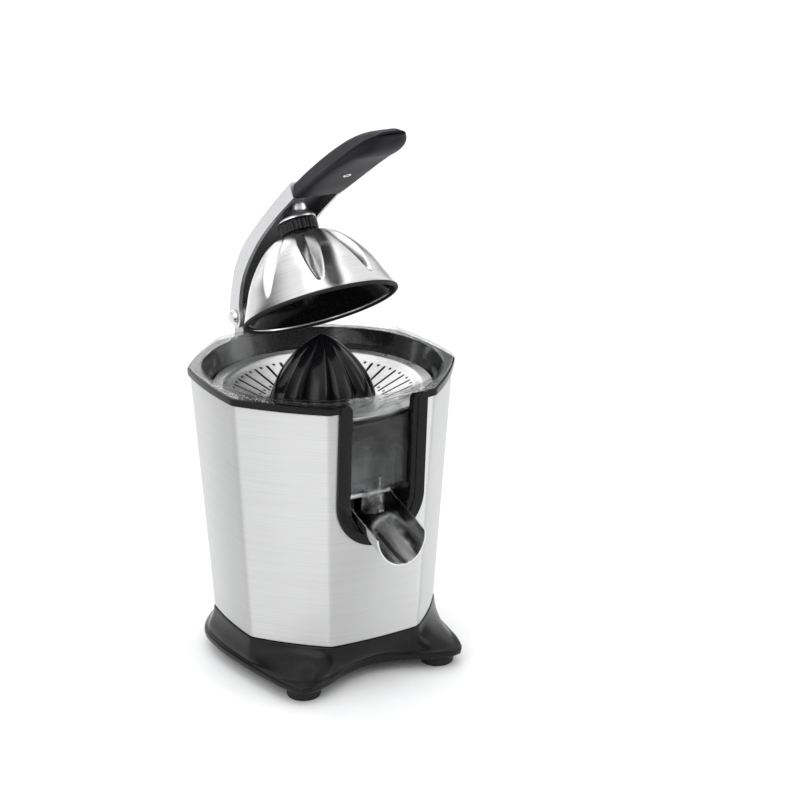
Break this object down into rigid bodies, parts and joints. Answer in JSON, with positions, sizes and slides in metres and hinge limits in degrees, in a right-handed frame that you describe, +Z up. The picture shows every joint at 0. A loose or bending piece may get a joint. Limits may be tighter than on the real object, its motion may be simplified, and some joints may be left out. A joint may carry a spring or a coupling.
{
  "type": "citrus press juicer",
  "caption": "Countertop lever citrus press with a motor-driven fluted reamer, a clear juice bowl with a strainer, a hinged pressing dome and a tilting spout.",
  "frame": {"origin": "on the reamer's axis, in the plane that the four feet stand on", "axes": "+Z up along the reamer's axis; -Y towards the window and the spout; +Y towards the lever's hinge; +X across the front, to the right for someone facing it"},
  "size_m": [0.186, 0.224, 0.4147],
  "materials": {
    "rubber": "matt",
    "screw_steel": "plain",
    "black_plastic": "satin",
    "gloss_black": "gloss",
    "brushed_steel": "brushed",
    "clear_plastic": "clear moulded plastic",
    "white_plastic": "satin",
    "cast_alloy": "cast zinc alloy",
    "arm_alloy": "satin",
    "stem_alloy": "polished",
    "motor_steel": "zinc plated",
    "copper": "wound copper on a laminated core",
    "bronze": "sintered bronze",
    "friction_fibre": "matt"
  },
  "bodies": {
    "body": {"foot_front_left": "rubber", "foot_front_right": "rubber", "foot_rear_left": "rubber", "foot_rear_right": "rubber", "foot_screws": "screw_steel", "base": "black_plastic", "base_plate": "black_plastic", "base_screws": "screw_steel", "body_shell": "brushed_steel", "inner_body": "black_plastic", "top_collar": "gloss_black", "front_bezel": "gloss_black", "juice_bowl": "clear_plastic", "strainer": "brushed_steel", "spout_pin": "screw_steel", "cord_gland": "black_plastic", "terminal_block": "white_plastic", "gearbox_housing": "cast_alloy", "gearbox_cover": "cast_alloy", "gearbox_screws": "screw_steel", "motor_can": "motor_steel", "motor_screws": "screw_steel", "idler_pin": "screw_steel", "spindle_bush": "bronze", "shaft_seal": "rubber", "return_spring": "screw_steel", "microswitch": "black_plastic", "hinge_bracket": "cast_alloy", "bracket_screws": "screw_steel", "friction_washers": "friction_fibre"},
    "lever": {"lever_arm": "arm_alloy", "grip_top": "gloss_black", "grip_under": "black_plastic", "grip_screws": "screw_steel", "dome_stem": "stem_alloy", "dome_shell": "brushed_steel", "dome_liner": "black_plastic", "dome_gasket": "rubber", "dome_screw": "screw_steel", "pivot_bolt": "screw_steel", "pivot_nut": "screw_steel"},
    "lock_ring": {"dome_lock_ring": "gloss_black"},
    "press": {"thrust_cup": "white_plastic"},
    "drive": {"drive_spindle": "screw_steel", "output_gear": "white_plastic", "reamer_cone": "gloss_black"},
    "idler": {"idler_gear": "white_plastic"},
    "rotor": {"motor_rotor": "copper", "motor_shaft": "screw_steel", "motor_pinion": "white_plastic"},
    "switch": {"switch_lever": "screw_steel"},
    "spout": {"spout": "brushed_steel"}
  },
  "joints": [
    {"name": "lever_swing", "type": "hinge", "parent": "body", "child": "lever", "pos_m": [0, 0.099, 0.234], "axis": [-1, 0, 0], "range_deg": [-32, 43]},
    {"name": "lock_ring_turn", "type": "hinge", "parent": "lever", "child": "lock_ring", "pos_m": [0, 0.03136, 0.31258], "axis": [0, 0.5299, 0.848], "range_deg": [0, 60]},
    {"name": "spout_tilt", "type": "hinge", "parent": "body", "child": "spout", "pos_m": [0, -0.06, 0.141], "axis": [-1, 0, 0], "range_deg": [0, 25]},
    {"name": "cone_press", "type": "slide", "parent": "body", "child": "press", "axis": [0, 0, -1], "range_m": [0, 0.0025], "stiffness_N_per_m": 1500, "springref_m": -0.003, "deforming": ["return_spring"]},
    {"name": "cone_spin", "type": "hinge", "parent": "press", "child": "drive", "pos_m": [0, 0, 0.2], "axis": [0, 0, 1], "continuous": true},
    {"name": "idler_spin", "type": "hinge", "parent": "body", "child": "idler", "pos_m": [0.02685, 0.0155, 0.14], "axis": [0, 0, 1], "continuous": true},
    {"name": "motor_spin", "type": "hinge", "parent": "body", "child": "rotor", "pos_m": [0, 0.031, 0.13], "axis": [0, 0, 1], "continuous": true},
    {"name": "switch_press", "type": "hinge", "parent": "body", "child": "switch", "pos_m": [-0.012, -0.0172, 0.1235], "axis": [0, 1, 0], "range_deg": [0, 12]}
  ],
  "couplings": [
    {"joint": "idler_spin", "follows": "cone_spin", "ratio": -4.1667},
    {"joint": "motor_spin", "follows": "cone_spin", "ratio": 17.361},
    {"joint": "switch_press", "follows": "cone_press", "rad_per_m": 83.776}
  ]
}
